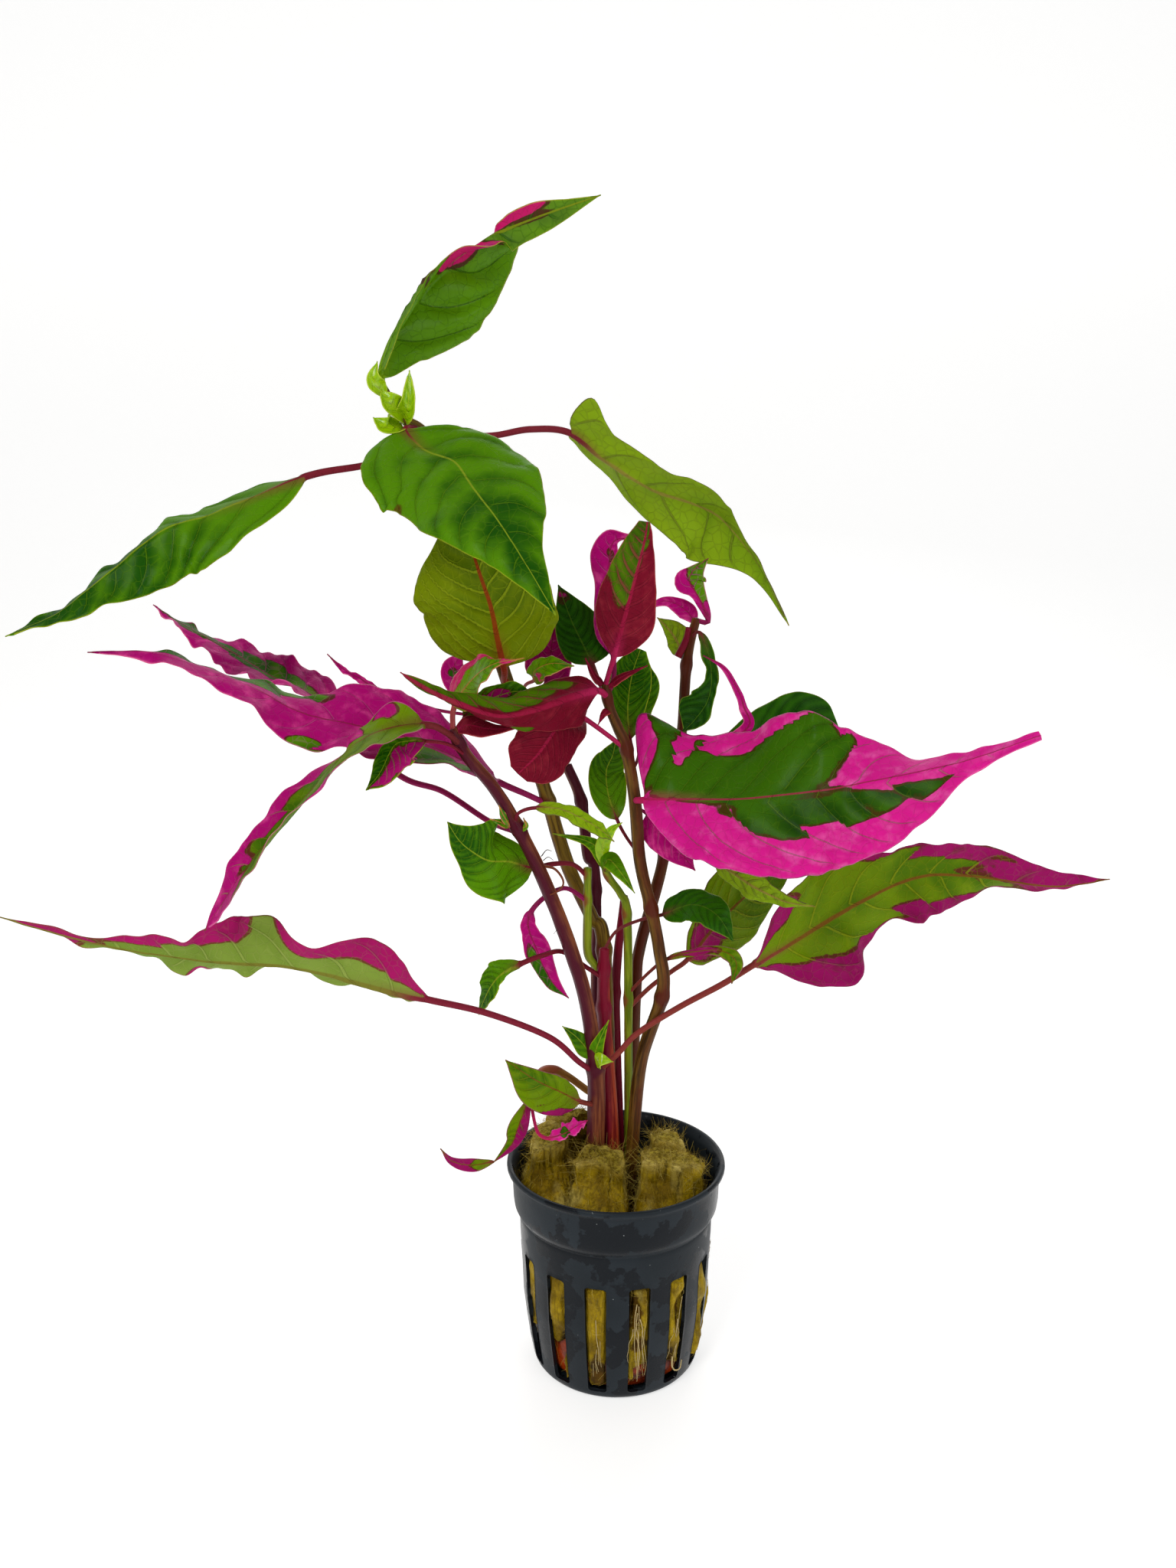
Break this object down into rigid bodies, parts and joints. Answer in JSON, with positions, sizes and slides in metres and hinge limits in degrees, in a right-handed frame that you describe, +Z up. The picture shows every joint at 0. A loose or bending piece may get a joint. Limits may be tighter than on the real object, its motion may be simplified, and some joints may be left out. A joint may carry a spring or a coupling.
{
  "type": "potted aquarium plant",
  "caption": "Pink and green leafy aquarium stem plant standing in rock wool and a clay weight in a slotted round net pot.",
  "frame": {"origin": "centre of the pot's flat underside, on the pot's axis", "axes": "+Z up along the pot's axis, -Y towards the side that the picture shows, +X to its right"},
  "size_m": [0.262, 0.091, 0.285],
  "materials": {
    "pot": "satin charcoal plastic, damp",
    "clay": "wet smooth fired clay",
    "wool": "wet mineral wool, fibrous",
    "olive_stem": "smooth green stem with a tan and purple flush",
    "purple_stem": "smooth crimson and purple stem",
    "green_stem": "smooth pale green stem",
    "green_leaf": "thin waxy leaf, satin",
    "pink_leaf": "thin waxy leaf, satin",
    "crimson_leaf": "thin waxy leaf, satin",
    "pale_leaf": "pale matte underside of a thin leaf"
  },
  "bodies": {
    "root": {"pot": "pot", "clay_weight": "clay", "wool_left": "wool", "wool_front": "wool", "wool_right_front": "wool", "wool_right_back": "wool", "wool_back": "wool", "stem_tall": "olive_stem", "stem_front": "purple_stem", "stem_right": "olive_stem", "stem_back": "olive_stem", "stem_red": "purple_stem", "stem_purple": "purple_stem", "stem_cut": "purple_stem", "stem_green_left": "green_stem", "stem_green_right": "green_stem", "shoot_low": "green_stem", "leaf_top_upright": "green_leaf", "leaf_top_left": "green_leaf", "leaf_top_front": "green_leaf", "leaf_top_right": "pale_leaf", "leaf_ovate": "green_leaf", "leaf_back_dark": "green_leaf", "leaf_crimson_upright": "crimson_leaf", "leaf_pink_upright": "pink_leaf", "leaf_magenta_small": "pink_leaf", "leaf_boat": "pink_leaf", "leaf_crimson_hanging": "crimson_leaf", "leaf_pink_back": "pink_leaf", "leaf_shoot_glossy": "green_leaf", "leaf_curled": "green_leaf", "leaf_shoot_green": "green_leaf", "leaf_shoot_narrow": "green_leaf", "leaf_back_folded": "pink_leaf", "leaf_back_pale": "pale_leaf", "leaf_back_twisted": "crimson_leaf", "leaf_left_upper": "pink_leaf", "leaf_left_pink": "pink_leaf", "leaf_left_hanging": "green_leaf", "leaf_left_needle": "pale_leaf", "leaf_left_small": "pink_leaf", "leaf_right_big": "pink_leaf", "leaf_right_low": "green_leaf", "leaf_right_round": "green_leaf", "leaf_right_strap": "pink_leaf", "leaf_right_narrow": "pale_leaf", "leaf_right_back": "green_leaf", "leaf_right_dark": "green_leaf", "leaf_right_curl": "green_leaf", "leaf_behind_right": "green_leaf", "leaf_under_big": "pink_leaf", "leaf_low_left": "green_leaf", "leaf_left_ovate": "green_leaf", "leaf_left_curled": "green_leaf", "leaf_red_hanging": "crimson_leaf", "leaf_low_green": "green_leaf", "leaf_on_wool": "pink_leaf", "leaf_pale_a": "pale_leaf", "leaf_behind_boat": "green_leaf"}
  },
  "joints": []
}
